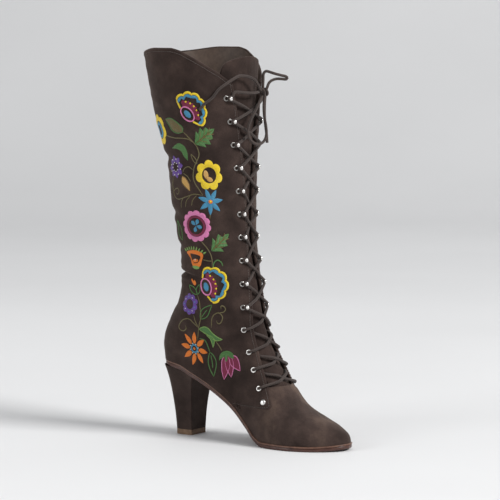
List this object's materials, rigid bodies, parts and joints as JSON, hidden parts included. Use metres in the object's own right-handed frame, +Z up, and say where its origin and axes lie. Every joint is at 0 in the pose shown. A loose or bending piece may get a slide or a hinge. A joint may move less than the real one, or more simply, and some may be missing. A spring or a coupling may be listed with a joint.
{
  "type": "lace-up boot",
  "caption": "Women's mid-calf lace-up boot in embroidered suede with a covered block heel, speed hooks and a tied lace, empty inside.",
  "frame": {"origin": "centre of the heel's ground face", "axes": "+X from heel to toe, +Y to the outer side of this left boot, +Z up"},
  "size_m": [0.2416, 0.1216, 0.4012],
  "materials": {
    "suede": "dark brown suede, matt nap",
    "heel_suede": "dark brown suede over the heel block",
    "rand_leather": "smooth reddish brown edge",
    "sole_leather": "polished edge, matt underside",
    "lining": "matt lining leather",
    "top_lift_rubber": "matt tan",
    "nickel": "polished nickel",
    "lace_cord": "round braided cord",
    "embroidery_thread": "satin stitch in many colours"
  },
  "bodies": {
    "root": {"bow_knot": "lace_cord", "bow_loop_drop": "lace_cord", "bow_loop_front": "lace_cord", "eyelet_lateral_01": "nickel", "eyelet_lateral_02": "nickel", "eyelet_lateral_03": "nickel", "eyelet_lateral_04": "nickel", "eyelet_lateral_05": "nickel", "eyelet_medial_01": "nickel", "eyelet_medial_02": "nickel", "eyelet_medial_03": "nickel", "eyelet_medial_04": "nickel", "eyelet_medial_05": "nickel", "heel": "heel_suede", "hook_lateral_01": "nickel", "hook_lateral_02": "nickel", "hook_lateral_03": "nickel", "hook_lateral_04": "nickel", "hook_lateral_05": "nickel", "hook_lateral_06": "nickel", "hook_lateral_07": "nickel", "hook_lateral_08": "nickel", "hook_lateral_09": "nickel", "hook_lateral_10": "nickel", "hook_medial_01": "nickel", "hook_medial_02": "nickel", "hook_medial_03": "nickel", "hook_medial_04": "nickel", "hook_medial_05": "nickel", "hook_medial_06": "nickel", "hook_medial_07": "nickel", "hook_medial_08": "nickel", "hook_medial_09": "nickel", "hook_medial_10": "nickel", "insole": "lining", "lace_crossing_01": "lace_cord", "lace_crossing_02": "lace_cord", "lace_crossing_03": "lace_cord", "lace_crossing_04": "lace_cord", "lace_crossing_05": "lace_cord", "lace_crossing_06": "lace_cord", "lace_crossing_07": "lace_cord", "lace_crossing_08": "lace_cord", "lace_crossing_09": "lace_cord", "lace_crossing_10": "lace_cord", "lace_crossing_11": "lace_cord", "lace_crossing_12": "lace_cord", "lace_crossing_13": "lace_cord", "lace_end_back": "lace_cord", "lace_end_drop": "lace_cord", "lace_lead_lateral": "lace_cord", "lace_lead_medial": "lace_cord", "outsole": "sole_leather", "rand": "rand_leather", "tongue": "suede", "top_lift": "top_lift_rubber", "upper": "suede"}
  },
  "joints": []
}
